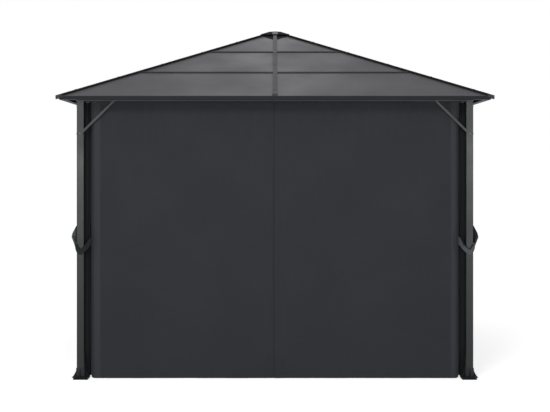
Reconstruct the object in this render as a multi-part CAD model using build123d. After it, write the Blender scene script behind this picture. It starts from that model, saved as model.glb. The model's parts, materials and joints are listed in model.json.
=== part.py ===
from build123d import *

import os
from math import acos, atan, cos, sin, sqrt, tan

# Square metal garden gazebo with a four-sided sheet roof and side curtains, in millimetres.
# X runs to the right, Y to the back and Z up; the origin is on the ground under the roof's point.

# Overall sizes of the frame and the roof.
overall_width = 3000.0
hip_end_reach = 20.0
overhang = 102.0
eave_height = 1962.5
roof_rise = 629.0
roof_rows = 3
panel_top = 52.0
gap = 0.3
sheet = 0.6

# Posts, feet and beams.
post_size = 50.0
post_wall = 1.5
post_corner = 4.0
beam_height = 40.0
beam_drop = 29.0
beam_wall = 1.6
beam_lip = 3.0
beam_lip_height = 6.0
beam_lip_slope = 3.0
foot_inside_margin = 36.0
foot_outside_margin = 28.0
foot_block_height = 16.0
foot_block_inset = 7.0
foot_plate = 4.0
foot_wall = 3.0
foot_collar_height = 78.0
foot_gusset = 5.0
foot_gusset_waist = 0.46
foot_bolt_radius = 5.5

# Curtain rail, braces and fascia.
rail_width = 20.0
rail_height = 7.0
rail_wall = 1.5
rail_slot = 6.0
brace_width = 15.0
brace_thickness = 3.0
brace_drop = 230.0
brace_run = 234.0
brace_tab = 13.0
fascia_height = 25.0
fascia_flange = 16.0
fascia_return = 45.0
fascia_wall = 1.2
fascia_groove = 1.5

# Rafters, covers and the parts at the top of the roof.
rafter_width = 40.0
rafter_wall = 1.6
cover_width = 34.0
cover_height = 10.0
cover_wall = 1.2
rib_width = 30.0
rib_height = 10.0
rib_end_lap = 4.0
rib_end_length = 12.0
hip_end_depth = 17.0
hip_end_wall = 2.5
strip_width = 22.0
strip_height = 5.0
purlin_width = 30.0
purlin_height = 20.0
purlin_wall = 1.5
panel_rib_margin = 5.0
panel_hip_margin = 10.0
hub_half = 70.0
hub_depth = 60.0
cap_half = 118.0
cap_top_half = 44.0
cap_edge = 5.0
cap_wall = 2.0
cap_strap_width = 44.0
flashing_half = 220.0
flashing_thickness = 3.0

# Curtains, gathered curtains and ties.
curtain_bottom = 2.0
curtain_thickness = 20.0
curtain_side_gap = 59.0
curtain_seam = 6.0
curtain_hem_corner = 30.0
bundle_width = 100.0
bundle_depth = 120.0
bundle_head_width = 84.0
bundle_bottom = 8.0
bundle_inner_edge = 41.0
bundle_clearance = 3.0
bundle_foot_taper = 138.0
bundle_waist_inset = 12.0
bundle_waist_reach = 144.0
bundle_shoulder = 200.0
tie_height = 75.0
tie_thickness = 2.0
tie_front = 900.0
tie_back = 1005.0
tie_bulge = 49.0
tie_inner_edge = 57.0
tie_corner = 45.0

# Sizes that follow from those above.
tip_half = overall_width / 2
eave_half = tip_half - hip_end_reach
frame_half = eave_half - overhang
post_middle = frame_half - post_size / 2
slope = atan(roof_rise / eave_half)
hip_slope = atan(roof_rise / eave_half / sqrt(2))
wing = acos(sin(slope) * sin(hip_slope) / sqrt(2) + cos(slope) * cos(hip_slope))
row_plan = (eave_half - panel_top) / roof_rows
beam_bottom = eave_height - beam_drop
rail_bottom = beam_bottom - gap - rail_height
beam_top = beam_bottom + beam_height
rafter_drop = eave_height + overhang * tan(slope) - beam_top - gap
cap_above = rib_height + gap + cap_edge * cos(slope)
cap_flat = eave_height + roof_rise - cap_top_half * tan(slope) + cap_above / cos(slope)
sky = eave_height + 2 * roof_rise
turns = {"front": 0, "right": 90, "back": 180, "left": 270}
corners = {"front_left": 0, "front_right": 90, "back_right": 180, "back_left": 270}


def write(shape, name):
    """One named piece as a file."""
    shape.label = name
    export_step(shape, f"parts/{name}.step")


def turned(shape, angle):
    return Rot(0, 0, angle) * shape


def group(shapes):
    return Compound(children=list(shapes))


def closed(points):
    """A flat face through the points."""
    return make_face(Polyline(*points, close=True))


def folded(points, thickness):
    """The section of a bent sheet: the points of its outer side, and their mitred offset to the right."""
    normals = []
    for (a, b), (c, d) in zip(points, points[1:]):
        length = sqrt((c - a) ** 2 + (d - b) ** 2)
        normals.append(((d - b) / length, (a - c) / length))
    inner = []
    last = len(points) - 1
    for i, (a, b) in enumerate(points):
        p, q = normals[max(i - 1, 0)], normals[min(i, last - 1)]
        share = thickness / (1 + p[0] * q[0] + p[1] * q[1])
        inner.append((a + (p[0] + q[0]) * share, b + (p[1] + q[1]) * share))
    return closed(points + inner[::-1])


def across(face, start, end):
    """A section drawn with Y outward and Z up, run along X."""
    plane = Plane(origin=(start, 0, 0), x_dir=(0, 1, 0), z_dir=(1, 0, 0))
    return extrude(plane * face, amount=end - start)


def mitre():
    """A tall wedge over the front quarter of the plan, for mitred ends that stay clear of each other."""
    edge = closed([(-tip_half, -tip_half), (tip_half, -tip_half), (0, 0)])
    return Pos(0, -gap, 0) * extrude(edge, amount=sky)


# The front slope: X along the eave, local Y up the slope, local Z out of the sheet.
slope_plane = Plane(
    origin=(0, -eave_half, eave_height), x_dir=(1, 0, 0), z_dir=(0, -sin(slope), cos(slope))
)
hip_length = eave_half * sqrt(2) / cos(hip_slope)


def along_slope(plan):
    """Distance up the slope from the eave to where the plan distance from the middle is this."""
    return (eave_half - plan) / cos(slope)


def make_foot():
    """A pressed shoe: a hollow base under a wider plate, with a collar, gussets and bolt holes."""
    side = post_size + foot_inside_margin + foot_outside_margin
    middle = post_middle - (foot_inside_margin - foot_outside_margin) / 2
    collar = post_size + 2 * (gap + foot_wall)
    base = side - 2 * foot_block_inset
    plate_top = foot_block_height + foot_plate
    foot = extrude(Rectangle(base, base), amount=foot_block_height)
    foot += Pos(0, 0, foot_block_height) * extrude(Rectangle(side, side), amount=foot_plate)
    foot -= extrude(Rectangle(base - 2 * foot_wall, base - 2 * foot_wall), amount=foot_block_height)
    foot = Pos(-middle, -middle) * foot
    tube = Pos(-post_middle, -post_middle)
    foot += tube * extrude(Rectangle(collar, collar), amount=foot_collar_height)
    web_plane = Plane(origin=(0, -foot_gusset / 2, 0), x_dir=(-1, 0, 0), z_dir=(0, 1, 0))
    for turn, margin in enumerate(
        (foot_outside_margin, foot_inside_margin, foot_inside_margin, foot_outside_margin)
    ):
        start, end = collar / 2 - foot_wall / 2, post_size / 2 + margin - foot_wall / 2
        low, high = plate_top - foot_plate / 2, foot_collar_height - foot_wall
        waist = (start + (end - start) * foot_gusset_waist, low + (high - low) * foot_gusset_waist)
        web = web_plane * closed([(start, low), (end, low), waist, (start, high)])
        web = extrude(web, amount=foot_gusset)
        foot += tube * turned(web, -90 * turn)
    socket = post_size + 2 * gap
    foot -= tube * Pos(0, 0, foot_wall) * extrude(Rectangle(socket, socket), amount=foot_collar_height)
    lug, aside = post_size / 2 + foot_inside_margin / 2, foot_inside_margin / 2
    for x, y in ((lug, aside), (aside, lug)):
        foot -= tube * Pos(x, y) * extrude(Circle(foot_bolt_radius), amount=plate_top)
    return foot


def make_post():
    """A square tube from the foot's floor to the underside of the beams."""
    height = beam_bottom - gap - foot_wall - gap
    outer = RectangleRounded(post_size, post_size, post_corner)
    inner = RectangleRounded(
        post_size - 2 * post_wall, post_size - 2 * post_wall, post_corner - post_wall
    )
    return Pos(-post_middle, -post_middle, foot_wall + gap) * extrude(outer - inner, amount=height)


def make_beam():
    """A closed box beam with a small lip along its outer bottom edge, mitred at both ends."""
    front, back = -frame_half, -frame_half + post_size
    lip_top = beam_bottom + beam_lip_height
    outer = closed(
        [
            (front - beam_lip, beam_bottom),
            (back, beam_bottom),
            (back, beam_top),
            (front, beam_top),
            (front, lip_top + beam_lip_slope),
            (front - beam_lip, lip_top),
        ]
    )
    inner = closed(
        [
            (front + beam_wall, beam_bottom + beam_wall),
            (back - beam_wall, beam_bottom + beam_wall),
            (back - beam_wall, beam_top - beam_wall),
            (front + beam_wall, beam_top - beam_wall),
        ]
    )
    return across(outer - inner, -frame_half - beam_lip, frame_half + beam_lip) & mitre()


def make_rail():
    """An open channel under the beam, its slot downward, for the curtain gliders."""
    middle, half, slot = -post_middle, rail_width / 2, rail_slot / 2
    top, floor = beam_bottom - gap, rail_bottom + rail_wall
    section = closed(
        [
            (middle - slot, rail_bottom),
            (middle - slot, floor),
            (middle - half + rail_wall, floor),
            (middle - half + rail_wall, top - rail_wall),
            (middle + half - rail_wall, top - rail_wall),
            (middle + half - rail_wall, floor),
            (middle + slot, floor),
            (middle + slot, rail_bottom),
            (middle + half, rail_bottom),
            (middle + half, top),
            (middle - half, top),
            (middle - half, rail_bottom),
        ]
    )
    end = frame_half - post_size - gap
    return across(section, -end, end)


def make_brace():
    """A flat bar from the face of the post up to a tab bent in under the beam."""
    outside = -frame_half - gap
    low = (-post_middle, beam_bottom - brace_drop)
    high = (-post_middle + brace_run, beam_bottom - gap)
    angle = atan((high[1] - low[1]) / (high[0] - low[0]))
    side, up = brace_width / 2 * sin(angle), brace_width / 2 * cos(angle)
    flat = brace_width / 2 / sin(angle)
    bar = closed(
        [
            (low[0] + side, low[1] - up),
            (high[0] + flat, high[1]),
            (high[0] - flat, high[1]),
            (low[0] - side, low[1] + up),
        ]
    )
    bar += Pos(low[0], low[1]) * Circle(brace_width / 2)
    plane = Plane(origin=(0, outside, 0), x_dir=(1, 0, 0), z_dir=(0, -1, 0))
    bar = extrude(plane * bar, amount=brace_thickness)
    tab = Pos(high[0], outside + brace_tab / 2 - brace_thickness / 2, high[1] - brace_thickness / 2)
    return bar + tab * Box(2 * flat, brace_tab + brace_thickness, brace_thickness)


def make_fascia():
    """A folded edging under the lowest panels, with a shallow groove along its face."""
    top = eave_height - sheet / cos(slope) - gap
    bottom, front, third = top - fascia_height, -eave_half, fascia_height / 3
    rise = fascia_flange * tan(slope)
    section = folded(
        [
            (front + fascia_flange, top + rise),
            (front, top),
            (front, top - third),
            (front + fascia_groove, top - third - fascia_groove),
            (front + fascia_groove, top - 2 * third + fascia_groove),
            (front, top - 2 * third),
            (front, bottom),
            (front + fascia_return, bottom),
        ],
        -fascia_wall,
    )
    return across(section, -eave_half, eave_half) & mitre()


def plan_limit(inside, outside, near_middle, near_hip):
    """The half of one slope, seen from above, between two plan distances from the middle."""
    edge = [
        (near_middle, -outside),
        (outside - near_hip, -outside),
        (inside - near_hip, -inside),
        (near_middle, -inside),
    ]
    return extrude(closed(edge), amount=sky)


def both_halves(half):
    return [half, mirror(half, about=Plane.YZ)]


def make_panels():
    """Six flat sheets of one slope, in three rows on either side of its middle rib."""
    panels = []
    for row in range(roof_rows):
        outside = eave_half - row * row_plan - (gap / 2 if row else 0)
        inside = max(eave_half - (row + 1) * row_plan + gap / 2, hub_half)
        limit = plan_limit(inside, outside, panel_rib_margin, panel_hip_margin)
        panels += both_halves(slope_slab(0, sheet) & limit)
    return panels


def slope_slab(above, thickness):
    """The front slope as one sheet, its top this far above the panels."""
    reach = 2 * along_slope(0)
    slab = extrude(Rectangle(reach, 2 * reach), amount=-thickness)
    return slope_plane * Pos(0, 0, above) * slab


def make_rafter_section(width, depth, fall):
    """A hollow rafter whose top falls both ways from its middle."""
    half, top = width / 2, -(sheet + gap) / cos(wing if fall else 0)
    shapes = []
    for wall in (0, rafter_wall):
        side, ridge, low = half - wall, top - wall, wall - depth
        edge = ridge - side * fall
        shapes.append(closed([(-side, edge), (0, ridge), (side, edge), (side, low), (-side, low)]))
    return shapes[0] - shapes[1]


def square_ring(inside, outside):
    """A tall square ring in plan, from one half width to the other."""
    ring = Rectangle(2 * outside, 2 * outside) - Rectangle(2 * inside, 2 * inside)
    return extrude(ring, amount=sky)


def diamond(half):
    """A tall square in plan whose corners point at the middles of the four eaves."""
    return extrude(closed([(-half, 0), (0, -half), (half, 0), (0, half)]), amount=sky)


def pyramid(above):
    """The solid under the four slopes, this far above the panels."""
    lift, base = above / cos(slope), eave_half
    top = (0, 0, eave_height + roof_rise + lift)
    ring = [(-base, -base), (base, -base), (base, base), (-base, base)]
    ring = [(x, y, eave_height + lift) for x, y in ring]
    faces = [Face(Wire.make_polygon([ring[i], ring[(i + 1) % 4], top])) for i in range(4)]
    return Solid(Shell([Face(Wire.make_polygon(ring))] + faces))


# The front slope's middle line: local X to the left, local Y out of the sheet, local Z up the slope.
rib_plane = Plane(
    origin=(0, -eave_half, eave_height), x_dir=(-1, 0, 0), z_dir=(0, cos(slope), sin(slope))
)
# The same at the hip, with local Y standing on the hip line.
hip_top_plane = Plane(
    origin=(-eave_half, -eave_half, eave_height),
    x_dir=(-sqrt(0.5), sqrt(0.5), 0),
    z_dir=(cos(hip_slope) / sqrt(2), cos(hip_slope) / sqrt(2), sin(hip_slope)),
)


def make_hip_rafter():
    """The hollow rafter under one hip, from the eave corner to the hub."""
    section = make_rafter_section(rafter_width, rafter_drop * cos(hip_slope), tan(wing))
    rafter = hip_top_plane * extrude(section, amount=hip_length)
    return rafter & square_ring(hub_half + gap, eave_half - fascia_return - gap)


def make_mid_rafter():
    """The hollow rafter under the middle of one slope."""
    section = make_rafter_section(rafter_width, rafter_drop * cos(slope), 0)
    rafter = rib_plane * extrude(section, amount=along_slope(0))
    return rafter & square_ring(hub_half + gap, eave_half - fascia_return - gap)


def make_purlins():
    """Channels under the joints between the rows, between the rafters of one slope."""
    purlins = []
    half, top = purlin_width / 2, -sheet - gap
    for row in range(1, roof_rows):
        middle = along_slope(eave_half - row * row_plan)
        section = folded(
            [
                (middle - half, top - purlin_height),
                (middle - half, top),
                (middle + half, top),
                (middle + half, top - purlin_height),
            ],
            purlin_wall,
        )
        long_purlin = slope_plane * across(section, -eave_half, eave_half)
        near_middle = rafter_width / 2 + gap
        limit = plan_limit(hub_half, eave_half, near_middle, near_middle * sqrt(2))
        purlins += both_halves(long_purlin & limit)
    return purlins


def make_strips():
    """Raised strips over the joints between the rows, between the rib and the hip covers."""
    strips = []
    for row in range(1, roof_rows):
        middle, half = along_slope(eave_half - row * row_plan), strip_width / 2
        section = folded(
            [
                (middle - half, gap),
                (middle - half, strip_height),
                (middle + half, strip_height),
                (middle + half, gap),
            ],
            cover_wall,
        )
        long_strip = slope_plane * across(section, -eave_half, eave_half)
        strips += both_halves(long_strip & between_rib_and_hip(eave_half))
    return strips


def between_rib_and_hip(outside):
    """The half of one slope, seen from above, between the middle rib and the hip cover."""
    return plan_limit(hub_half, outside, rib_width / 2 + gap, (cover_width / 2 + gap) * sqrt(2))


def make_hip_cover():
    """A folded cover standing over one hip, its foot on the sheets on either side."""
    half, fall = cover_width / 2, tan(wing)
    foot = gap - (half - cover_wall) * fall
    edge = foot + cover_height
    section = folded(
        [(-half, foot), (-half, edge), (0, cover_height), (half, edge), (half, foot)],
        cover_wall,
    )
    cover = hip_top_plane * extrude(section, amount=hip_length)
    return cover & square_ring(hub_half, eave_half)


def make_rib():
    """A folded cover over the middle joint of one slope."""
    half = rib_width / 2
    section = folded([(-half, gap), (-half, rib_height), (half, rib_height), (half, gap)], cover_wall)
    rib = rib_plane * extrude(section, amount=along_slope(0))
    return rib & square_ring(hub_half, eave_half - rib_end_length)


def make_rib_end():
    """A small block that closes the rib at the eave."""
    half, top = rib_width / 2 + rib_end_lap, rib_height + rib_end_lap
    section = closed([(-half, gap), (-half, top), (half, top), (half, gap)])
    block = rib_plane * extrude(section, amount=along_slope(0))
    return block & square_ring(eave_half - rib_end_length + gap, eave_half)


def make_hip_end():
    """The hollow end piece of one hip, standing out past the eave corner."""
    fall, reach = tan(wing), hip_end_reach * sqrt(2) / cos(hip_slope)
    shapes = []
    for wall in (0, hip_end_wall):
        half, top, low = cover_width / 2 - wall, cover_height - wall, wall - hip_end_depth
        edge = top - half * fall
        outline = closed([(-half, low), (half, low), (half, edge), (0, top), (-half, edge)])
        block = hip_top_plane * Pos(0, 0, -reach) * extrude(outline, amount=2 * reach)
        shapes.append(block & square_ring(eave_half + (0 if wall else gap), tip_half - wall))
    return shapes[0] - shapes[1]


def below(height):
    """Everything under this height."""
    return extrude(Rectangle(2 * tip_half, 2 * tip_half), amount=height)


def make_hub():
    """A hollow pyramid-topped box that takes the upper ends of the rafters."""
    wall = 2 * rafter_wall
    base = eave_height + roof_rise - hub_half * tan(slope) - hub_depth
    outer, inner = (
        Pos(0, 0, base) * extrude(Rectangle(2 * half, 2 * half), amount=2 * hub_depth)
        for half in (hub_half, hub_half - wall)
    )
    lid, above = cap_flat - cap_wall - gap, -sheet - gap
    hollow = inner & pyramid(above - wall) & below(lid - wall)
    return (outer & pyramid(above) & below(lid)) - hollow


def square(half):
    """A tall square in plan, in line with the eaves."""
    return extrude(Rectangle(2 * half, 2 * half), amount=sky)


def make_cap():
    """The raised cover over the point of the roof: four slopes and a skirt, cut flat at its top."""
    outer = pyramid(cap_above) & square(cap_half) & below(cap_flat)
    hollow = pyramid(cap_above - cap_wall) & square(cap_half - cap_wall) & below(cap_flat - cap_wall)
    return outer - hollow - pyramid(rib_height + gap)


def make_cap_straps():
    """Two crossed straps bent over the cap along the middle lines of the slopes."""
    cross = Rectangle(2 * cap_half, cap_strap_width) + Rectangle(cap_strap_width, 2 * cap_half)
    cross = extrude(cross, amount=sky)
    top = cap_above + gap
    outer = pyramid(top + cap_wall) & cross & below(cap_flat + gap + cap_wall)
    return outer - (pyramid(top) & below(cap_flat + gap))


def make_flashing():
    """The eight facets of one flat collar under the cap, between the ribs and the hip covers."""
    collar = slope_slab(gap + flashing_thickness, flashing_thickness) & diamond(flashing_half)
    return both_halves(collar & between_rib_and_hip(flashing_half))


def make_curtain():
    """One closed curtain of the front, left of the middle: a thin hanging slab with a rounded hem."""
    side = frame_half - post_size - curtain_side_gap
    top = rail_bottom - gap
    edge = closed(
        [
            (-side, curtain_bottom),
            (-curtain_seam / 2, curtain_bottom),
            (-curtain_seam / 2, top),
            (-side, top),
        ]
    )
    corner = edge.vertices().sort_by(Axis.Y)[:2]
    edge = fillet(corner, curtain_hem_corner)
    plane = Plane(origin=(0, -post_middle, 0), x_dir=(1, 0, 0), z_dir=(0, -1, 0))
    return extrude(plane * edge, amount=curtain_thickness / 2, both=True)


def make_bundle():
    """One side curtain gathered behind its post: an upright roll, narrow at its tie and its head."""
    post_back = -frame_half + post_size + gap
    inner_edge = -post_middle + post_size / 2 + bundle_inner_edge
    top, tie = rail_bottom - gap, (tie_front + tie_back) / 2
    brace_end = beam_bottom - brace_drop - brace_width
    beside_foot, near = foot_inside_margin + bundle_clearance, bundle_clearance
    full, head = (bundle_width, bundle_depth), (bundle_head_width, bundle_depth)
    waist = (bundle_width - bundle_waist_inset, bundle_depth - bundle_waist_inset)
    steps = [
        (bundle_bottom, beside_foot, *full),
        (foot_collar_height, beside_foot, *full),
        (foot_collar_height + bundle_foot_taper, near, *full),
        (tie - bundle_waist_reach, near, *full),
        (tie, near, *waist),
        (tie + bundle_waist_reach, near, *full),
        (brace_end - bundle_shoulder, near, *full),
        (brace_end, near, *head),
        (top, near, *head),
    ]
    sections = [
        Pos(inner_edge - width / 2, post_back + behind + depth / 2, height) * Ellipse(width / 2, depth / 2)
        for height, behind, width, depth in steps
    ]
    return loft(sections, ruled=True)


def make_tie():
    """A loop of wide ribbon round one post and its gathered curtain, lower at the front."""
    left, front = -frame_half - tie_bulge, -frame_half - gap - tie_thickness
    right = -post_middle + post_size / 2 + tie_inner_edge
    back = -frame_half + post_size + bundle_depth + 2 * tie_thickness
    width, depth = right - left, back - front
    ring = RectangleRounded(width, depth, tie_corner)
    ring -= RectangleRounded(
        width - 2 * tie_thickness, depth - 2 * tie_thickness, tie_corner - tie_thickness
    )
    loop = Pos((left + right) / 2, (front + back) / 2) * extrude(ring, amount=sky)
    half = tie_height / 2
    band = closed(
        [
            (front, tie_front - half),
            (back, tie_back - half),
            (back, tie_back + half),
            (front, tie_front + half),
        ]
    )
    return loop & across(band, -tip_half, 0)


def build():
    os.makedirs("parts", exist_ok=True)
    front_brace = make_brace()
    side_brace = mirror(front_brace, about=Plane(origin=(0, 0, 0), z_dir=(1, -1, 0)))
    at_corners = {
        "foot": make_foot(),
        "post": make_post(),
        "brace": group([front_brace, side_brace]),
    }
    at_sides = {"beam": make_beam(), "roof_panels": group(make_panels())}
    once_per_corner = {
        "hip_rafters": make_hip_rafter(),
        "hip_covers": make_hip_cover(),
        "hip_ends": make_hip_end(),
    }
    once_per_side = {
        "curtain_rails": [make_rail()],
        "eave_fascia": [make_fascia()],
        "mid_rafters": [make_mid_rafter()],
        "roof_ribs": [make_rib()],
        "rib_ends": [make_rib_end()],
        "row_strips": make_strips(),
        "cap_flashing": make_flashing(),
        "purlins": make_purlins(),
    }
    for name, shape in at_corners.items():
        for corner, angle in corners.items():
            write(turned(shape, angle), f"{name}_{corner}")
    for name, shape in at_sides.items():
        for side, angle in turns.items():
            write(turned(shape, angle), f"{name}_{side}")
    for name, shape in once_per_corner.items():
        write(group(turned(shape, angle) for angle in corners.values()), name)
    for name, shapes in once_per_side.items():
        write(group(turned(shape, angle) for angle in turns.values() for shape in shapes), name)
    write(make_hub(), "roof_hub")
    write(make_cap(), "roof_cap")
    write(make_cap_straps(), "cap_straps")
    left_half = make_curtain()
    for side, angle in {"front": 0, "back": 180}.items():
        write(turned(left_half, angle), f"curtain_{side}_{'left' if side == 'front' else 'right'}")
        right_half = mirror(left_half, about=Plane.YZ)
        write(turned(right_half, angle), f"curtain_{side}_{'right' if side == 'front' else 'left'}")
    bundle, tie = make_bundle(), make_tie()
    for corner, places in quarters(bundle).items():
        write(places, f"gathered_curtain_{corner}")
    for corner, places in quarters(tie).items():
        write(places, f"curtain_tie_{corner}")


def quarters(front_left):
    """The front left shape at all four corners, mirrored so that it stays in the side bays."""
    front_right = mirror(front_left, about=Plane.YZ)
    return {
        "front_left": front_left,
        "front_right": front_right,
        "back_right": turned(front_left, 180),
        "back_left": turned(front_right, 180),
    }


if __name__ == "__main__":
    build()
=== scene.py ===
import bpy
import json
import numpy as np
from math import cos, pi, radians, sin
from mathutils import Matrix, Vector


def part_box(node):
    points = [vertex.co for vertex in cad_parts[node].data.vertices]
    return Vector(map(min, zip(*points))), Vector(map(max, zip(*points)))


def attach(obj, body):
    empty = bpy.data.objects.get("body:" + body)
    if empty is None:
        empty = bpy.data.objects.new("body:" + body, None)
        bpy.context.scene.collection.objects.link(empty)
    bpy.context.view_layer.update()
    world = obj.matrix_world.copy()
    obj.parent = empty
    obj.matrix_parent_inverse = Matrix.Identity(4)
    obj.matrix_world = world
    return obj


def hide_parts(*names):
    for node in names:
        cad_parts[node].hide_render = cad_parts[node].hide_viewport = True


# Metal gazebo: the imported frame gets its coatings, and the cloth, ties, gliders and screws are added.
# Metres, the frame's own axes: X to the right, Y to the back, Z up.
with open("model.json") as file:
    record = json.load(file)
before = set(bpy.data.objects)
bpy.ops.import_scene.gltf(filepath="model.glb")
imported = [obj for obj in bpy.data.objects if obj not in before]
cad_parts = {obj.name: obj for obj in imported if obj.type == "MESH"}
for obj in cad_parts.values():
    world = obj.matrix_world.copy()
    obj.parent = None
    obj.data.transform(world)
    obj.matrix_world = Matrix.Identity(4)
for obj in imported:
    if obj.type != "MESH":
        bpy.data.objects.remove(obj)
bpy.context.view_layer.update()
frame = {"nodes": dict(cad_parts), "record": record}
nodes = frame["nodes"]
print("frame loaded with", len(nodes), "parts")


# Places read from the frame, at its front left corner.
postLow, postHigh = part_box("post_front_left")
postMiddle = (postLow.x + postHigh.x) / 2              # in X and, as the plan is square, in Y
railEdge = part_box("curtain_rails")[0].z                # height of the rails' open lower edge
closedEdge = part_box("curtain_front_left")[0].x         # outer edge of a closed curtain
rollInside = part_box("gathered_curtain_front_left")[1].x  # a gathered curtain's side towards the room
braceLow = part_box("brace_front_left")[0]

# Each corner as the signs that take X and Y there from the front left one.
cornerSigns = {"front_left": (1, 1), "front_right": (-1, 1), "back_right": (-1, -1), "back_left": (1, -1)}


# A surface is an array of points [row, column, xyz]; these few functions turn it into a mesh.
def gridFaces(rows, columns, closed=False):
    # one quad between neighbouring rows and columns, by index arithmetic; closed joins the last
    # column to the first
    row, column = np.meshgrid(
        np.arange(rows - 1), np.arange(columns if closed else columns - 1), indexing="ij")
    after = (column + 1) % columns
    here, below = row * columns, (row + 1) * columns
    quads = [here + column, here + after, below + after, below + column]
    return np.stack(quads, axis=-1).reshape(-1, 4)


def surfaceNormals(surface):
    # cross product of the steps along a row and down a column, made one long
    normals = np.cross(np.gradient(surface, axis=1), np.gradient(surface, axis=0))
    shortest = 1e-9   # keeps a step of no length from dividing by zero
    return normals / np.maximum(np.linalg.norm(normals, axis=-1, keepdims=True), shortest)


def addMesh(name, points, faces, material, uv=None, creaseAngle=40):
    # points, faces and one UV per point become an object at the origin, smooth up to the crease angle
    mesh = bpy.data.meshes.new(name)
    mesh.from_pydata(points.reshape(-1, 3).tolist(), [], faces)
    if uv is not None:
        corners = np.empty(len(mesh.loops), dtype=np.int32)
        mesh.loops.foreach_get("vertex_index", corners)
        mesh.uv_layers.new(name="cloth").data.foreach_set("uv", uv.reshape(-1, 2)[corners].ravel())
    mesh.polygons.foreach_set("use_smooth", np.ones(len(mesh.polygons), dtype=bool))
    mesh.set_sharp_from_angle(angle=radians(creaseAngle))
    mesh.materials.append(material)
    mesh.update()
    piece = bpy.data.objects.new(name, mesh)
    bpy.context.scene.collection.objects.link(piece)
    return piece


def addCloth(name, surface, ply, uv, material):
    # a closed thin shell: the surface moved half its ply to either side, with a rim round the border
    rows, columns = surface.shape[:2]
    shift = surfaceNormals(surface) * ply[..., None] / 2
    points = np.stack([surface + shift, surface - shift])
    faces = gridFaces(rows, columns)
    index = np.arange(rows * columns).reshape(rows, columns)
    border = np.concatenate([index[0, :-1], index[:-1, -1], index[-1, :0:-1], index[:0:-1, 0]])
    following = np.roll(border, -1)
    under = rows * columns
    rim = np.stack([following, border, border + under, following + under], axis=-1)
    faces = np.concatenate([faces, faces[:, ::-1] + under, rim])
    piece = addMesh(name, points, faces.tolist(), material, np.stack([uv, uv]))
    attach(piece, "root")
    return piece


def turnedSolid(profile, sides):
    # a profile [radius, height] carried round the Z axis: quads between its rings, and triangles to
    # its two ends, which lie on the axis
    around = np.arange(sides)
    after = (around + 1) % sides
    angles = around * 2 * pi / sides
    ring = np.stack([np.cos(angles), np.sin(angles), np.zeros(sides)], axis=-1)
    radius, height = np.array(profile)[1:-1].T
    rings = ring[None] * radius[:, None, None] + np.array([0, 0, 1]) * height[:, None, None]
    points = np.concatenate([rings.reshape(-1, 3), [[0, 0, profile[0][1]], [0, 0, profile[-1][1]]]])
    top, bottom = np.full(sides, len(points) - 2), np.full(sides, len(points) - 1)
    last = (len(radius) - 1) * sides
    quads = gridFaces(len(radius), sides, closed=True)[:, ::-1]
    topFan = np.stack([around, after, top], axis=-1)
    bottomFan = np.stack([last + after, last + around, bottom], axis=-1)
    return points, (quads, topFan, bottomFan)


def addCopies(name, shape, places, material):
    # one mesh of the shape at each place, which is a point, the axis to point along and a spin:
    # the points are turned by the spin, then to the axis, and moved
    points, faceKinds = shape
    copies = []
    for place, axis, spin in places:
        tilt = np.array(Vector(axis).to_track_quat("Z", "Y").to_matrix())
        spun = np.array([[cos(spin), -sin(spin), 0], [sin(spin), cos(spin), 0], [0, 0, 1]])
        copies.append(points @ (tilt @ spun).T + np.array(place))
    starts = np.arange(len(places))[:, None, None] * len(points)
    faces = [face for kind in faceKinds for face in (kind + starts).reshape(-1, kind.shape[1]).tolist()]
    piece = addMesh(name, np.concatenate(copies), faces, material, creaseAngle=35)
    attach(piece, "root")
    return piece


def atCorner(surface, signs):
    # a mirrored surface has its columns reversed, so that its faces keep pointing outwards
    mirrored = surface * np.array([*signs, 1])
    return mirrored[:, ::-1] if signs[0] * signs[1] < 0 else mirrored


def softNoise(across, down, seed, waves, scale):
    # an even sum of cosines with seeded directions and phases, from -1 to 1
    chance = np.random.default_rng(seed)
    total = 0
    for wave in range(waves):
        acrossRate, downRate = chance.normal(0, 1, 2) / np.array(scale)
        total = total + np.cos(2 * pi * (across * acrossRate + down * downRate) + chance.uniform(0, 2 * pi))
    return total / waves


def smoothStep(x, low, high):
    # 0 below low, 1 above high, and 3t² - 2t³ between
    t = np.clip((x - low) / (high - low), 0, 1)
    return t * t * (3 - 2 * t)


def bellCurve(x, middle, reach):
    # 1 at the middle, and e to the minus square of the distance in reaches away from it
    return np.exp(-(((x - middle) / reach) ** 2))


def gradedSteps(low, high, count, marks, fine):
    # even places from low to high, with three more close together at each mark, none twice
    close = [mark + step * fine for mark in marks for step in (-1, 0, 1)]
    places = np.concatenate([np.linspace(low, high, count), [p for p in close if low < p < high]])
    return np.unique(np.round(places, decimals=6))


# Materials. Numbers that change over the surface are Signals, so their maths is written as Python.
class Signal:
    def __init__(self, paint, socket):
        self.paint = paint
        self.socket = socket

    def __add__(self, other):
        return self.paint.calc("ADD", self, other)

    def __sub__(self, other):
        return self.paint.calc("SUBTRACT", self, other)

    def __rsub__(self, other):
        return self.paint.calc("SUBTRACT", other, self)

    def __mul__(self, other):
        return self.paint.calc("MULTIPLY", self, other)

    def __lt__(self, other):
        return self.paint.calc("LESS_THAN", self, other)

    def __gt__(self, other):
        return self.paint.calc("GREATER_THAN", self, other)

    def __abs__(self):
        return self.paint.calc("ABSOLUTE", self)

    __radd__ = __add__
    __rmul__ = __mul__


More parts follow.
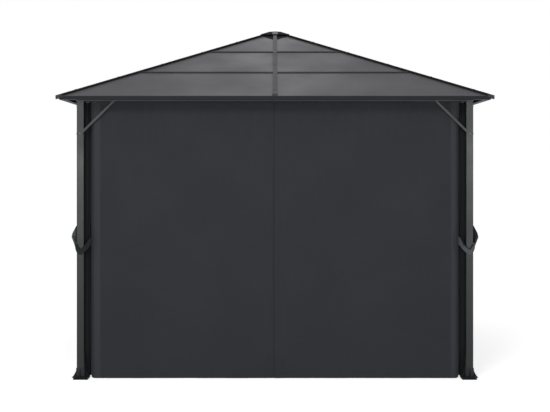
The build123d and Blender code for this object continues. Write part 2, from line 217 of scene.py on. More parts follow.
class Paint:
    # the nodes of one material, or of the world
    def __init__(self, holder):
        self.holder = holder
        holder.use_nodes = True
        self.tree = holder.node_tree
        self.tree.nodes.clear()

    def node(self, kind, settings, inputs):
        # any node: its settings first, then its sockets' values or links
        made = self.tree.nodes.new(kind)
        for key, value in settings.items():
            setattr(made, key, value)
        for key, value in inputs.items():
            if isinstance(value, Signal):
                self.tree.links.new(value.socket, made.inputs[key])
            else:
                made.inputs[key].default_value = value
        return made

    def value(self, kind, settings, inputs, output=0):
        return Signal(self, self.node(kind, settings, inputs).outputs[output])

    def calc(self, operation, *numbers):
        return self.value("ShaderNodeMath", {"operation": operation}, dict(enumerate(numbers)))

    def place(self):
        # object coordinates, in metres
        return self.value("ShaderNodeTexCoord", {}, {}, "Object")

    def clothPlace(self, stretch=(1, 1, 1)):
        # metres across and down the flat cloth, stretched
        spot = self.value("ShaderNodeUVMap", {"uv_map": "cloth"}, {})
        return self.value("ShaderNodeMapping", {}, {"Vector": spot, "Scale": stretch})

    def along(self, spot, axis):
        # one coordinate of a spot: X, Y or Z
        return self.value("ShaderNodeSeparateXYZ", {}, {"Vector": spot}, axis)

    def noise(self, spot, scale, detail=3):
        values = {"Vector": spot, "Scale": scale, "Detail": detail}
        return self.value("ShaderNodeTexNoise", {}, values, "Fac")

    def wave(self, spot, scale, direction):
        settings = {"wave_type": "BANDS", "bands_direction": direction}
        return self.value("ShaderNodeTexWave", settings, {"Vector": spot, "Scale": scale}, "Fac")

    def remap(self, signal, low, high, toLow=0.0, toHigh=1.0):
        # a smooth step from toLow to toHigh while the signal goes from low to high
        values = {"Value": signal, "From Min": low, "From Max": high, "To Min": toLow, "To Max": toHigh}
        return self.value("ShaderNodeMapRange", {"interpolation_type": "SMOOTHSTEP"}, values)

    def mixColour(self, factor, first, second):
        # from the first colour to the second as the factor goes from 0 to 1
        values = {0: factor, 6: first, 7: second}   # the colour sockets of a node with many kinds
        return self.value("ShaderNodeMix", {"data_type": "RGBA"}, values, 2)

    def bump(self, height, distance, under=None):
        # a relief this deep, over another one where that is given
        values = {"Height": height, "Distance": distance}
        if under is not None:
            values["Normal"] = under
        return self.value("ShaderNodeBump", {}, values)

    def finish(self, inputs):
        shader = self.value("ShaderNodeBsdfPrincipled", {}, inputs)
        self.node("ShaderNodeOutputMaterial", {}, {"Surface": shader})
        return self.holder


def linear(red, green, blue):
    # an 8-bit screen colour as the linear colour that a shader takes, by the sRGB curve
    parts = [value / 255 for value in (red, green, blue)]
    return (*[p / 12.92 if p <= 0.04045 else ((p + 0.055) / 1.055) ** 2.4 for p in parts], 1)


def shade(colour, factor):
    return (*[part * factor for part in colour[:3]], 1)


noiseLow, noiseHigh = 0.3, 0.7   # nearly all of a noise texture lies between these

# Coated metals and moulded plastic: grain is the bump's depth, level the strength of the reflection.
coatings = {
    "frame_metal": {"colour": linear(31, 33, 34), "roughness": 0.32, "grain": 0.00006, "level": 0.27},
    # painted light: beam_metal is the posts' paint made lighter, to make up for the eave's shade on the
    # beams' faces
    "beam_metal": {"colour": linear(78, 80, 83), "roughness": 0.36, "grain": 0.00006, "level": 0.25},
    # painted light: the foot's sleeve colour is lighter than the rest of the foot
    "foot_metal": {"colour": linear(31, 32, 33), "roughness": 0.55, "grain": 0.00008, "level": 0.04,
                   "litSleeve": linear(51, 52, 54), "litSleeveHalf": 0.0289, "litSleeveFrom": 0.0206},
    "fascia_metal": {"colour": linear(41, 42, 45), "roughness": 0.50, "grain": 0.00006, "level": 0.06},
    "rafter_metal": {"colour": linear(44, 46, 47), "roughness": 0.42, "grain": 0.00006, "level": 0.20},
    "roof_sheet": {"colour": linear(69, 68, 72), "roughness": 0.50, "grain": 0.00004, "level": 0.15,
                   "bowScale": 2.2, "bowDepth": 0.0012},
    "rib_metal": {"colour": linear(60, 60, 63), "roughness": 0.55, "grain": 0.00004, "level": 0.10},
    "dark_trim": {"colour": linear(27, 27, 29), "roughness": 0.75, "grain": 0.00005, "level": 0.05,
                  "top": linear(15, 15, 17), "topFrom": 2.47, "topBlend": 0.01},
    "end_caps": {"colour": linear(52, 52, 55), "roughness": 0.55, "grain": 0.00010, "level": 0.20},
}
powderCoat = {
    "peelScale": 420, "flakeScale": 2600, "patchScale": 3.0,
    "toneSpread": 0.10, "patchInTone": 0.6,        # the rest of the tone's change is flake
    "glossSpread": 0.06, "patchInGloss": 0.7,      # the rest is peel
    "peelInBump": 0.7,                             # the rest is flake
}


def coatedMetal(look, name):
    # powder coat: fine peel and flake in the bump, a slow change of tone and of gloss
    coat = powderCoat
    paint = Paint(bpy.data.materials.new(name))
    spot = paint.place()
    peel = paint.noise(spot, coat["peelScale"])
    flake = paint.noise(spot, coat["flakeScale"], detail=1)
    patch = paint.noise(spot, coat["patchScale"])
    surface = paint.bump(peel * coat["peelInBump"] + flake * (1 - coat["peelInBump"]), look["grain"])
    if "bowDepth" in look:
        # thin sheet bows slightly between its fixings
        bow = paint.noise(spot, look["bowScale"], detail=1)
        surface = paint.bump(bow, look["bowDepth"], surface)
    tone = patch * coat["patchInTone"] + flake * (1 - coat["patchInTone"])
    colours = [shade(look["colour"], 1 + coat["toneSpread"] * sign) for sign in (-1, 1)]
    base = paint.mixColour(tone, *colours)
    if "litSleeve" in look:
        # painted light: the sleeve, the square round the post's middle over the plate, is painted lighter
        # than the rest of the foot, as light as the posts look with their reflection
        fromMiddle = [abs(abs(paint.along(spot, axis)) - abs(postMiddle)) for axis in "XY"]
        onLitSleeve = paint.calc("MAXIMUM", *fromMiddle) < look["litSleeveHalf"]
        onLitSleeve = onLitSleeve * (paint.along(spot, "Z") > look["litSleeveFrom"])
        base = paint.mixColour(onLitSleeve, base, look["litSleeve"])
    if "top" in look:
        # the cap and its flashing are blacker than the hip covers
        isTop = paint.remap(paint.along(spot, "Z"), look["topFrom"], look["topFrom"] + look["topBlend"])
        base = paint.mixColour(isTop, base, look["top"])
    gloss = patch * coat["patchInGloss"] + peel * (1 - coat["patchInGloss"])
    roughness = [look["roughness"] + coat["glossSpread"] * sign for sign in (-1, 1)]
    return paint.finish({
        "Base Color": base,
        "Roughness": paint.remap(gloss, noiseLow, noiseHigh, *roughness),
        "Specular IOR Level": look["level"],
        "Normal": surface,
    })


# Woven polyester: a plain weave of round threads, with slubs along both thread directions.
weaves = {
    # painted highlight: curtain_cloth's hem colour lightens a strip along the curtain's outer edge
    "curtain_cloth": {"colour": linear(51, 53, 57), "thread": 0.0011, "slub": 0.10, "sheen": 0.05,
                      "hemHighlightFrom": 1.229, "hem": linear(59, 61, 65)},
    # painted shade: gathered_cloth is the curtain cloth painted darker, for the gathered roll in the shade
    # behind the post
    "gathered_cloth": {"colour": linear(31, 33, 35), "thread": 0.0011, "slub": 0.10, "sheen": 0.03},
    # painted light and painted shade: the tie's light colour and its darker end are lit and shaded copies
    # of one cloth
    "tie_webbing": {"colour": linear(84, 88, 91), "thread": 0.0013, "slub": 0.08, "sheen": 0.10,
                    "darkFrom": 0.445, "creaseShadowWidth": 0.0060, "dark": linear(33, 35, 37)},
}
weaveLook = {
    "depth": 0.00016, "roughness": 0.88, "level": 0.06, "sheenRoughness": 0.45,
    "slubFine": 240, "slubLong": 3,              # noise scale over a slub and along it
    "patchScale": 2.3, "slubInTone": 0.6,        # the rest of the tone's change is slow patches
    "gapShade": 0.75, "gapStrength": 0.25,       # tone at the crossings of threads
    "threadInBump": 0.75,                        # the rest is slub
    "hemHighlightBlend": 0.004, "darkBlend": 0.004, "creaseShadowBlend": 0.0010, "creaseShadowFactor": 0.25,
}
waveRate = 20 / (2 * pi)   # bands in a metre of a wave texture with a scale of 1


def wovenCloth(look, name):
    # threads over and under each other: the product of two sine bands, one across and one down,
    # with a band to every two threads
    paint = Paint(bpy.data.materials.new(name))
    spot = paint.clothPlace()
    bandScale = 1 / (2 * look["thread"]) / waveRate
    weft, warp = [paint.wave(spot, bandScale, direction) for direction in "XY"]
    crossing = weft * warp + (1 - weft) * (1 - warp)
    fine, long = weaveLook["slubFine"], weaveLook["slubLong"]
    slubs = [paint.noise(paint.clothPlace(stretch), 1.0) for stretch in ((fine, long, 1), (long, fine, 1))]
    slub = (slubs[0] + slubs[1]) * 0.5
    patch = paint.noise(spot, weaveLook["patchScale"], detail=2)
    change = slub * weaveLook["slubInTone"] + patch * (1 - weaveLook["slubInTone"])
    colours = [shade(look["colour"], 1 + look["slub"] * sign) for sign in (-1, 1)]
    base = paint.mixColour(paint.remap(change, noiseLow, noiseHigh), *colours)
    if "hem" in look:
        # painted highlight: a strip along the outer edge, over the side hem and the curl, is painted a
        # little lighter, for the light that the bend of the edge catches
        hemHighlightFull = look["hemHighlightFrom"] + weaveLook["hemHighlightBlend"]
        onHemHighlight = paint.remap(paint.along(spot, "X"), look["hemHighlightFrom"], hemHighlightFull)
        base = paint.mixColour(onHemHighlight, base, look["hem"])
    if "dark" in look:
        # painted shade: from a set distance along the ribbon to its end, over its right side and its front,
        # the ribbon is painted darker, as that part lies in shade
        half = weaveLook["darkBlend"] / 2
        inPaintedShade = paint.remap(paint.along(spot, "X"), look["darkFrom"] - half, look["darkFrom"] + half)
        # painted shadow: a thin strip along the ribbon's whole upper edge is painted much darker, for the
        # shadow in the crease between the ribbon and the post
        half = weaveLook["creaseShadowBlend"] / 2
        inCreaseShadow = paint.remap(paint.along(spot, "Y"), -look["creaseShadowWidth"] - half, -look["creaseShadowWidth"] + half)
        base = paint.mixColour(inPaintedShade, base, look["dark"])
        base = paint.mixColour(inCreaseShadow, base, shade(look["dark"], weaveLook["creaseShadowFactor"]))
    gap = shade(look["colour"], weaveLook["gapShade"])
    relief = crossing * weaveLook["threadInBump"] + slub * (1 - weaveLook["threadInBump"])
    return paint.finish({
        "Base Color": paint.mixColour(crossing * weaveLook["gapStrength"], base, gap),
        "Roughness": weaveLook["roughness"],
        "Specular IOR Level": weaveLook["level"],
        "Sheen Weight": look["sheen"],
        "Sheen Roughness": weaveLook["sheenRoughness"],
        "Normal": paint.bump(relief, weaveLook["depth"]),
    })


# Screws, bolts and gliders.
smallFinishes = {
    "screw_steel": {"colour": linear(105, 106, 108), "roughness": 0.45, "metallic": 1.0, "scale": 900},
    "screw_dark": {"colour": linear(44, 44, 47), "roughness": 0.40, "metallic": 0.0, "scale": 900},
    "glider_plastic": {"colour": linear(38, 38, 40), "roughness": 0.45, "metallic": 0.0, "scale": 700},
}
smallWear = {"tone": 0.15, "gloss": 0.08, "depth": 0.00002}


def smallFinish(look, name):
    # a worn change of tone and gloss over one colour
    paint = Paint(bpy.data.materials.new(name))
    wear = paint.noise(paint.place(), look["scale"])
    colours = [shade(look["colour"], 1 + smallWear["tone"] * sign) for sign in (-1, 1)]
    roughness = [look["roughness"] + smallWear["gloss"] * sign for sign in (-1, 1)]
    return paint.finish({
        "Base Color": paint.mixColour(wear, *colours),
        "Roughness": paint.remap(wear, noiseLow, noiseHigh, *roughness),
        "Metallic": look["metallic"],
        "Normal": paint.bump(wear, smallWear["depth"]),
    })


finishes = {}
for recipe, looks in ((coatedMetal, coatings), (wovenCloth, weaves), (smallFinish, smallFinishes)):
    finishes.update({name: recipe(look, name) for name, look in looks.items()})
for part in frame["record"]["subparts"]:
    mesh = nodes[part["node"]].data
    mesh.materials.clear()
    mesh.materials.append(finishes[part["material_slot"]])
print("coatings and cloth mixed:", len(finishes))


# Closed curtains: two at the front and two at the back, the right one of each pair lapped over the left.
closedCurtain = {
    "headDrop": 0.0004, "bottom": 0.003,           # clearance under the rail and over the ground
    "cornerRadius": 0.020, "cornerFade": 12,       # lower outer corner, and the power that keeps it low
    "ply": 0.0008, "hemPly": 0.0011,               # the cloth, and what a hem adds
    "sideHem": 0.028, "bottomHem": 0.062, "headHem": 0.050, "hemStep": 0.0012,
    "leftSeam": 0.012, "rightSeam": -0.004,        # X of each seam edge at the middle
    "lapDepth": 0.0035, "lapReach": 0.09,
    "gliderPitch": 0.088, "pinchDepth": 0.0030, "pinchReach": 0.16, "headSag": 0.0003,
    "swayDepth": 0.0040, "swayScale": (0.42, 2.6), "swayWaves": 5,
    "wrinkleDepth": 0.0010, "wrinkleScale": (0.16, 0.35), "wrinkleWaves": 9,
    "headSlack": 0.25, "slackReach": 0.7,          # the sway's share at the head, full after this share
    "calmEdge": (-0.05, 0.25),                     # the ripples fade over this distance from the edge
    "curlWidth": 0.043, "curlDepth": 0.044, "curlReach": 0.019, "curlPower": 2.5,
    "headCurl": 0.45, "headCurlReach": 0.10,       # the curl's share at the head, full after this share
    "drawn": 0.75, "drawnHeight": 0.945, "drawnReach": 0.075,   # the curl is wider beside the tie
    "columns": 150, "rows": 96, "flat": (1.30, 1.92),
}


def closedSpan(hand):
    # X of a front curtain's seam edge and of its outer edge: hand is -1 for the left and 1 for the right
    if hand < 0:
        return closedCurtain["leftSeam"], closedEdge
    return closedCurtain["rightSeam"], -closedEdge


def closedCurtainSurface(hand, seed):
    # a point of the flat cloth (across, down) hangs at x = across outwards from the seam edge,
    # z = head - down, and y = slow sway + wrinkles + the gliders' pinch - the lap + the outer edge's curl
    cloth = closedCurtain
    seam, outer = closedSpan(hand)
    width = abs(outer - seam) + cloth["curlReach"]
    head = railEdge - cloth["headDrop"]
    height = head - cloth["bottom"]
    sideHem, bottomHem, headHem = cloth["sideHem"], cloth["bottomHem"], cloth["headHem"]
    step = cloth["hemStep"]
    across = gradedSteps(0, width, cloth["columns"], (sideHem, width - sideHem), step)
    down = gradedSteps(0, height, cloth["rows"], (headHem, height - bottomHem), step)
    down, across = np.meshgrid(down, across, indexing="ij")
    share = down / height
    nearHead = np.exp(-down / cloth["pinchReach"])
    atGlider = np.cos(2 * pi * across / cloth["gliderPitch"])
    # the corner's arc: the edge rises by radius - √(radius² - distance into the corner²)
    radius = cloth["cornerRadius"]
    intoCorner = np.clip(radius - (width - across), 0, radius)
    rise = (radius - np.sqrt(radius**2 - intoCorner**2)) * share ** cloth["cornerFade"]
    z = head - down + rise - cloth["headSag"] * (1 - atGlider) / 2 * nearHead
    slack = cloth["headSlack"] + (1 - cloth["headSlack"]) * smoothStep(share, 0, cloth["slackReach"])
    sway = cloth["swayDepth"] * slack * softNoise(
        across, down, seed, cloth["swayWaves"], cloth["swayScale"])
    wrinkle = cloth["wrinkleDepth"] * softNoise(
        across, down, seed + 1, cloth["wrinkleWaves"], cloth["wrinkleScale"])
    pinch = cloth["pinchDepth"] * atGlider * nearHead
    lap = hand * cloth["lapDepth"] * (1 - smoothStep(across, 0, cloth["lapReach"]))
    y = postMiddle + (sway + wrinkle + pinch) * smoothStep(width - across, *cloth["calmEdge"]) - lap
    # the curl grows as a power of the share of its width, which is larger beside the tie
    drawn = cloth["drawn"] * bellCurve(z, cloth["drawnHeight"], cloth["drawnReach"])
    curlWidth = cloth["curlWidth"] * (1 + drawn)
    curl = np.clip(1 - (width - across) / curlWidth, 0, 1) ** cloth["curlPower"]
    headCurl = cloth["headCurl"] + (1 - cloth["headCurl"]) * smoothStep(share, 0, cloth["headCurlReach"])
    y = y + cloth["curlDepth"] * curl * headCurl
    x = seam + np.sign(outer) * across
    hem = 1 - smoothStep(across, sideHem - step, sideHem)
    hem = np.maximum(hem, smoothStep(across, width - sideHem, width - sideHem + step))
    hem = np.maximum(hem, smoothStep(down, height - bottomHem, height - bottomHem + step))
    hem = np.maximum(hem, 1 - smoothStep(down, headHem - step, headHem))
    ply = cloth["ply"] + cloth["hemPly"] * hem
    return np.stack([x, y, z], axis=-1), ply, np.stack([across, down], axis=-1)


# hand, the sign that turns a front curtain to its side, and seed
closedPlaces = {
    "front_left": (-1, 1, 11), "front_right": (1, 1, 12),
    "back_right": (-1, -1, 13), "back_left": (1, -1, 14),
}
for side, (hand, turn, seed) in closedPlaces.items():
    surface, ply, uv = closedCurtainSurface(hand, seed)
    surface = surface * np.array([turn, turn, 1])
    piece = addCloth(f"closed_curtain_{side}", surface, ply, uv, finishes["curtain_cloth"])
    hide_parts(f"curtain_{side}")


# Gathered curtains: each side curtain pushed to its post and held by the tie.
gatheredCurtain = {
    "folds": 7, "hairpin": 2.0, "columnsPerFold": 22, "rows": 104, "ply": 0.0012,
    "headDrop": 0.0010, "bottom": 0.010, "fromPost": 0.004,
    "halfWidth": 0.050, "halfDepth": 0.057,
    "headWidth": 0.90, "headFrom": 1.35,           # narrower at the head, from this height up
    "endRound": 0.85, "endPower": 4,               # the first and last folds are smaller
    "footStep": 0.033, "footHeight": (0.05, 0.22),  # the foot of the roll lies further from the post
    "waist": 0.26, "waistHeight": 1.01, "waistReach": 0.13, "waistInDepth": 0.5,
    "flare": 0.05, "flareReach": (0.2, 0.9),       # wider again over this distance under the waist
    "lean": 0.4,                                   # share of the lost half width that moves inwards
    "uneven": 0.10, "unevenWaves": 6, "unevenScale": (1.6, 1.1),
    "drift": 0.004, "driftWaves": 4, "driftScale": (0.75, 0.7),
    "slip": 0.25, "slipWaves": 5, "slipScale": (0.5, 0.8),   # folds close up, as a share of their pitch
    "firstSeed": 31, "seedStep": 7, "flat": (1.33, 1.91),
}


def gatheredSurface(seed):
    # along the cloth p goes 0 to 1 and the phase f = 2π·folds·p swings the cloth across the roll:
    # x = half width · tanh(k·sin f) / tanh k, y = depth · p - pitch/4π · sin 2f, so each turn is round
    roll = gatheredCurtain
    p = np.linspace(0, 1, roll["folds"] * roll["columnsPerFold"] + 1)
    head = railEdge - roll["headDrop"]
    z = np.linspace(head, roll["bottom"], roll["rows"])
    z, p = np.meshgrid(z, p, indexing="ij")
    f = 2 * pi * roll["folds"] * p
    waist = roll["waist"] * bellCurve(z, roll["waistHeight"], roll["waistReach"])
    flare = roll["flare"] * smoothStep(roll["waistHeight"] - z, *roll["flareReach"])
    narrowing = (1 - roll["headWidth"]) * smoothStep(z, roll["headFrom"], head)
    halfWidth = roll["halfWidth"] * (1 - waist + flare) * (1 - narrowing)
    depth = 2 * roll["halfDepth"] * (1 - roll["waistInDepth"] * waist)
    pitch = depth / roll["folds"]
    roundEnds = np.sqrt(np.clip(1 - (2 * p - 1) ** roll["endPower"] * roll["endRound"], 0, 1))
    uneven = 1 + roll["uneven"] * softNoise(
        p * roll["folds"], z, seed, roll["unevenWaves"], roll["unevenScale"])
    swing = np.tanh(roll["hairpin"] * np.sin(f)) / np.tanh(roll["hairpin"])
    drift = roll["drift"] * softNoise(p, z, seed + 1, roll["driftWaves"], roll["driftScale"])
    slip = roll["slip"] * pitch * softNoise(p, z, seed + 2, roll["slipWaves"], roll["slipScale"])
    lean = roll["lean"] * (roll["halfWidth"] - halfWidth)
    footStep = roll["footStep"] * (1 - smoothStep(z, *roll["footHeight"]))
    x = rollInside - roll["halfWidth"] + halfWidth * roundEnds * uneven * swing + drift + lean
    y = postHigh.y + roll["fromPost"] + roll["halfDepth"] + depth * (p - 0.5)
    y = y - pitch / (4 * pi) * np.sin(2 * f) + slip + footStep
    surface = np.stack([x, y, z], axis=-1)
    # across the flat cloth: the length along each row, as a share of the row
    lengths = np.linalg.norm(np.diff(surface, axis=1), axis=-1)
    across = np.concatenate([np.zeros((roll["rows"], 1)), np.cumsum(lengths, axis=1)], axis=1)
    across = across / across[:, -1:] * roll["flat"][0]
    return surface, np.full(z.shape, roll["ply"]), np.stack([across, head - z], axis=-1)


for order, (corner, signs) in enumerate(cornerSigns.items()):
    surface, ply, uv = gatheredSurface(gatheredCurtain["firstSeed"] + gatheredCurtain["seedStep"] * order)
    surface = atCorner(surface, signs)
    piece = addCloth(f"gathered_folds_{corner}", surface, ply, uv, finishes["gathered_cloth"])
    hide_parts(f"gathered_curtain_{corner}")


# Ties: a doubled ribbon round the post and the gathered curtain, low in front of the post.
tie = {
    "ply": 0.0018, "edgePly": 0.0008, "edgeFrom": (0.72, 0.86),   # the sewn edges are thicker
    "overlap": 0.045, "overlapRise": 0.05, "overlapGap": 0.0004,
    "belly": 0.001, "ripple": 0.0016, "rippleWaves": 5, "rippleScale": (0.08, 0.05), "rippleWidth": 0.06,
    "columns": 220, "rows": 13, "fineSteps": 600, "firstSeed": 61, "flat": (0.60, 0.063),
    "start": 0.45,   # the ribbon starts between its first two stations
    # stations round the post, from its front to the left: plan from the post's middle and height,
    # for the ribbon's upper edge and for its lower edge
    "upper": (
        (0.000, -0.036, 0.908), (-0.018, -0.040, 0.935), (-0.036, -0.034, 0.967),
        (-0.0435, -0.014, 0.989), (-0.0600, 0.004, 1.007), (-0.0530, 0.006, 1.027),
        (-0.0420, 0.010, 1.048), (-0.0350, 0.020, 1.062), (-0.0340, 0.045, 1.068),
        (-0.0330, 0.085, 1.064), (-0.0220, 0.1300, 1.056), (0.0200, 0.1460, 1.048),
        (0.0600, 0.1310, 1.036), (0.0740, 0.0900, 1.020), (0.0710, 0.052, 1.002),
        (0.0580, 0.018, 0.980), (0.0450, -0.014, 0.955), (0.0250, -0.034, 0.926),
    ),
    "lower": (
        (0.003, -0.0290, 0.866), (-0.0235, -0.0290, 0.886), (-0.0370, -0.0280, 0.930),
        (-0.0540, -0.0120, 0.965), (-0.0637, 0.000, 0.985), (-0.0500, 0.005, 0.957),
        (-0.0390, 0.009, 0.944), (-0.0320, 0.020, 0.944), (-0.0330, 0.045, 0.960),
        (-0.0320, 0.084, 0.978), (-0.0210, 0.1290, 0.988), (0.0200, 0.1450, 0.982),
        (0.0590, 0.1300, 0.970), (0.0730, 0.0880, 0.956), (0.0700, 0.050, 0.940),
        (0.0570, 0.016, 0.920), (0.0440, -0.013, 0.900), (0.0240, -0.0290, 0.878),
    ),
}


def loopThrough(points, t):
    # a closed smooth line through the points: on each span the cubic with Catmull-Rom slopes
    points = np.array(points)
    span = np.floor(t).astype(int)
    u = (t - span)[:, None]
    before, start, end, after = (points[(span + step) % len(points)] for step in (-1, 0, 1, 2))
    return 0.5 * (
        2 * start + (end - before) * u
        + (2 * before - 5 * start + 4 * end - after) * u**2
        + (3 * start - before - 3 * end + after) * u**3
    )


def tieSurface(seed):
    # the ribbon spans two smooth loops: point = lower(s) + share · (upper(s) - lower(s)), moved outwards
    # by a small belly, 4 · share · (1 - share), by a ripple that grows towards both edges, and by its
    # own thickness where the free end lies over the start of the loop
    ribbon = tie
    fine = np.linspace(0, len(ribbon["upper"]), ribbon["fineSteps"]) + ribbon["start"]
    middle = (loopThrough(ribbon["upper"], fine) + loopThrough(ribbon["lower"], fine)) / 2
    length = np.concatenate([[0], np.cumsum(np.linalg.norm(np.diff(middle, axis=0), axis=1))])
    s = np.linspace(0, length[-1] + ribbon["overlap"], ribbon["columns"])
    station = np.interp(s % length[-1], length, fine)
    upper, lower = loopThrough(ribbon["upper"], station), loopThrough(ribbon["lower"], station)
    share = np.linspace(0, 1, ribbon["rows"])[:, None]
    toEdge = np.abs(2 * share - 1)
    surface = lower[None] + share[..., None] * (upper - lower)[None]
    outward = -surfaceNormals(surface)   # rows run upwards, so the cross product points to the post
    ripple = ribbon["ripple"] * toEdge * softNoise(
        s[None], share * ribbon["rippleWidth"], seed, ribbon["rippleWaves"], ribbon["rippleScale"])
    belly = ribbon["belly"] * 4 * share * (1 - share)
    onTop = smoothStep(s, length[-1] - ribbon["overlapRise"], length[-1])[None]
    over = onTop * (ribbon["ply"] + ribbon["edgePly"] + ribbon["overlapGap"])
    surface = surface + outward * (ripple + over + belly)[..., None]
    surface = surface + np.array([postMiddle, postMiddle, 0])
    ply = ribbon["ply"] + ribbon["edgePly"] * smoothStep(toEdge, *ribbon["edgeFrom"]) + 0 * s[None]
    width = np.linalg.norm(upper - lower, axis=1)
    return surface, ply, np.stack([s[None] + 0 * share, (share - 1) * width], axis=-1)


for order, (corner, signs) in enumerate(cornerSigns.items()):
    surface, ply, uv = tieSurface(tie["firstSeed"] + order)
    surface = atCorner(surface, signs)
    piece = addCloth(f"tie_ribbon_{corner}", surface, ply, uv, finishes["tie_webbing"])
    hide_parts(f"curtain_tie_{corner}")


# Gliders: a head in the rail, a stem through its slot, and a ring that holds the curtain's head.
glider = {
    # radius and height over the rail's open edge, from the top down
    "profile": (
        (0, 0.0045), (0.0042, 0.0045), (0.0046, 0.0030), (0.0046, 0.0020), (0.0019, 0.0016),
        (0.0019, -0.0030), (0.0034, -0.0042), (0.0036, -0.0062), (0.0024, -0.0082), (0, -0.0086),
    ),
    "sides": 12, "gatheredCount": 14, "fromPost": 0.010,
}


def gliderPlaces():
    # one at each pinch of a closed curtain, and one at each fold of a gathered curtain
    places = []
    pitch = closedCurtain["gliderPitch"]
    for hand, turn, seed in closedPlaces.values():
        seam, outer = closedSpan(hand)
        for i in range(1, int(abs(outer - seam) / pitch) + 1):
            x = seam + np.sign(outer) * i * pitch
            places.append(((x * turn, postMiddle * turn, railEdge), (0, 0, 1), 0.0))
    gatheredPitch = 2 * gatheredCurtain["halfDepth"] / glider["gatheredCount"]
    for sx, sy in cornerSigns.values():
        for i in range(glider["gatheredCount"]):
            y = postHigh.y + glider["fromPost"] + i * gatheredPitch
            places.append(((postMiddle * sx, y * sy, railEdge), (0, 0, 1), 0.0))
    return places


gliders = addCopies("curtain_gliders", turnedSolid(glider["profile"], glider["sides"]),
                    gliderPlaces(), finishes["glider_plastic"])


# Frame screws: domed heads with a socket, on the braces and at the tops of the posts.
screw = {
    # radius and height above the face
    "profile": (
        (0, 0.0012), (0.0018, 0.0012), (0.0020, 0.0030), (0.0030, 0.0031), (0.0045, 0.0022),
        (0.0052, 0.0008), (0.0054, 0.0000), (0.0074, -0.0001), (0.0075, -0.0006), (0, -0.0007),
    ),
    # distance from a brace's lower end, and from a post's top and outer side
    "sides": 16, "braceEnd": 0.0105, "braceSpin": 0.3, "postTop": 0.037, "postSide": 0.010, "postSpin": 0.9,
}


def frameScrewPlaces():
    # brace ends on the outer faces, and one screw near the top of each outer face of a post; the side
    # faces have them as the front ones do, with X and Y exchanged
    braceSpot = (postMiddle, braceLow.y, braceLow.z + screw["braceEnd"])
    postSpot = (postLow.x + screw["postSide"], postLow.y, postHigh.z - screw["postTop"])
    front = [(braceSpot, (0, -1, 0), screw["braceSpin"]), (postSpot, (0, -1, 0), screw["postSpin"])]
    side = [((y, x, z), (-1, 0, 0), spin) for (x, y, z), axis, spin in front]
    return [
        ((x * sx, y * sy, z), (ax * sx, ay * sy, az), spin)
        for sx, sy in cornerSigns.values() for (x, y, z), (ax, ay, az), spin in front + side
    ]


frameScrews = addCopies("frame_screws", turnedSolid(screw["profile"], screw["sides"]),
                        frameScrewPlaces(), finishes["screw_steel"])


# Roof screws: flat heads on a sealing washer, in pairs along the hip covers and single along the ribs.
roofScrew = {
    # radius and height above the sheet
    "profile": (
        (0, 0.0034), (0.0012, 0.0034), (0.0042, 0.0030), (0.0046, 0.0022), (0.0047, 0.0010),
        (0.0062, 0.0009), (0.0066, 0.0004), (0.0066, -0.0004), (0, -0.0005),
    ),
    # distances from the roof's middle, half the step of a pair, and the height to look down from
    "sides": 14, "fromMiddle": (0.30, 0.56, 0.84, 1.12, 1.38), "aside": 0.0065, "above": 3.0, "spin": 0.4,
}


def roofScrewPlaces():
    # each place is where a line straight down meets the roof, with the roof's own direction there
    graph = bpy.context.evaluated_depsgraph_get()
    places = []
    for d in roofScrew["fromMiddle"]:
        spots = [(0, -d), (0, d), (-d, 0), (d, 0)]
        for sx, sy in cornerSigns.values():
            spots += [(sx * (d + a), sy * (d - a)) for a in (-roofScrew["aside"], roofScrew["aside"])]
        for x, y in spots:
            start = (x, y, roofScrew["above"])
            found, place, normal, *rest = bpy.context.scene.ray_cast(graph, start, (0, 0, -1))
            if found:
                places.append((tuple(place), tuple(normal), roofScrew["spin"]))
    return places


roofScrews = addCopies("roof_screws", turnedSolid(roofScrew["profile"], roofScrew["sides"]),
                       roofScrewPlaces(), finishes["screw_dark"])


# Ground bolts: a six-sided head on a washer in each hole of the feet.
groundBolt = {
    # radius and height above the foot's plate
    "washer": ((0, 0.0018), (0.0084, 0.0018), (0.0088, 0.0014), (0.0088, 0.0002), (0, 0.0001)),
    "head": ((0, 0.0072), (0.0060, 0.0072), (0.0075, 0.0062), (0.0075, 0.0019), (0, 0.0018)),
    "washerSides": 24, "headSides": 6,
    # each hole's place from the post's middle and its bolt's spin, and the height of the foot's plate
    "holes": ((0.043, 0.018, 0.3), (0.018, 0.043, 0.8)), "plateTop": 0.020,
}
boltPlaces = [
    (((postMiddle + x) * sx, (postMiddle + y) * sy, groundBolt["plateTop"]), (0, 0, 1), spin)
    for sx, sy in cornerSigns.values() for x, y, spin in groundBolt["holes"]
]
for part in ("washer", "head"):
    shape = turnedSolid(groundBolt[part], groundBolt[part + "Sides"])
    addCopies(f"ground_bolt_{part}s", shape, boltPlaces, finishes["screw_steel"])
print("gliders, screws and bolts fitted")


# Studio: a pale floor, white surroundings, soft lamps and the photo's camera.
studio = {
    "floorHalf": 400.0, "floorColour": 0.80, "floorGlow": 0.66, "fill": 0.45,
    "cameraPlace": (0.0, -8.61, 1.4725), "focalPixels": 1041.0, "imageWidth": 550, "imageHeight": 412,
    "horizonRow": 167.3, "sensor": 36.0,
    "sightRays": ("Is Camera Ray", "Is Glossy Ray", "Is Transmission Ray"),
    "lamps": {
        # place, aim, size, power
        "key": ((-1.2, -6.8, 5.2), (0.0, -1.3, 1.3), (1.6, 1.6), 125),
        "roof": ((0.0, 5.5, 7.4), (0.0, -0.8, 2.2), (2.0, 2.0), 36),
        "front_left": ((-2.9, -10.0, 1.62), (-1.0, -1.4, 1.3), (2.6, 1.6), 133),
        "front_right": ((2.9, -10.0, 1.62), (1.0, -1.4, 1.3), (2.6, 1.6), 133),
    },
}


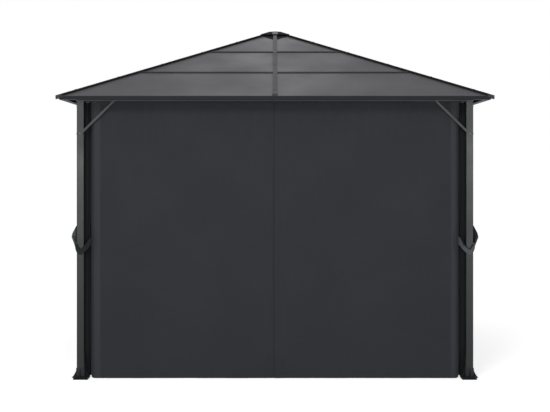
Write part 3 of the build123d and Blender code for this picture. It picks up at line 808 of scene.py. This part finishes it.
def sightMask(paint):
    # 1 for rays that see the studio itself, straight or in a gloss or glass, and 0 for its light
    camera, glossy, through = [
        paint.value("ShaderNodeLightPath", {}, {}, ray) for ray in studio["sightRays"]]
    return paint.calc("MAXIMUM", paint.calc("MAXIMUM", camera, glossy), through)


def grey(level):
    return (level, level, level, 1)


def addSurroundings():
    # strength = fill for light, 1 where the surroundings are seen
    world = bpy.data.worlds.new("studio")
    bpy.context.scene.world = world
    paint = Paint(world)
    strength = sightMask(paint) * (1 - studio["fill"]) + studio["fill"]
    background = paint.value("ShaderNodeBackground", {}, {"Color": grey(1), "Strength": strength})
    paint.node("ShaderNodeOutputWorld", {}, {"Surface": background})


def addFloor():
    # one flat square of matt colour that glows where it is seen and keeps the shadow
    paint = Paint(bpy.data.materials.new("studio_floor"))
    material = paint.finish({
        "Base Color": grey(studio["floorColour"]),
        "Roughness": 1.0,
        "Specular IOR Level": 0.0,
        "Emission Color": paint.mixColour(sightMask(paint), grey(0), grey(studio["floorGlow"])),
        "Emission Strength": 1.0,
    })
    half = studio["floorHalf"]
    corners = np.array([(-half, -half, 0), (half, -half, 0), (half, half, 0), (-half, half, 0)])
    floor = addMesh("studio_floor", corners, [[0, 1, 2, 3]], material)


def addLamps():
    for name, (place, aim, size, power) in studio["lamps"].items():
        lamp = bpy.data.lights.new(name + "_lamp", "AREA")
        lamp.shape = "RECTANGLE"
        lamp.size, lamp.size_y = size
        lamp.energy = power
        holder = bpy.data.objects.new(name + "_lamp", lamp)
        holder.location = place
        holder.rotation_euler = (Vector(aim) - Vector(place)).to_track_quat("-Z", "Y").to_euler()
        bpy.context.scene.collection.objects.link(holder)


def addCamera():
    # level, with the horizon on its row of the picture by the lens's shift
    camera = bpy.data.cameras.new("photo_camera")
    camera.sensor_width = studio["sensor"]
    camera.lens = studio["focalPixels"] * studio["sensor"] / studio["imageWidth"]
    camera.shift_y = -(studio["imageHeight"] / 2 - studio["horizonRow"]) / studio["imageWidth"]
    holder = bpy.data.objects.new("photo_camera", camera)
    holder.location = studio["cameraPlace"]
    holder.rotation_euler = (radians(90), 0, 0)
    bpy.context.scene.collection.objects.link(holder)
    bpy.context.scene.camera = holder


addSurroundings()
addFloor()
addLamps()
addCamera()
bpy.context.scene.view_settings.view_transform = "Standard"
print("studio set")
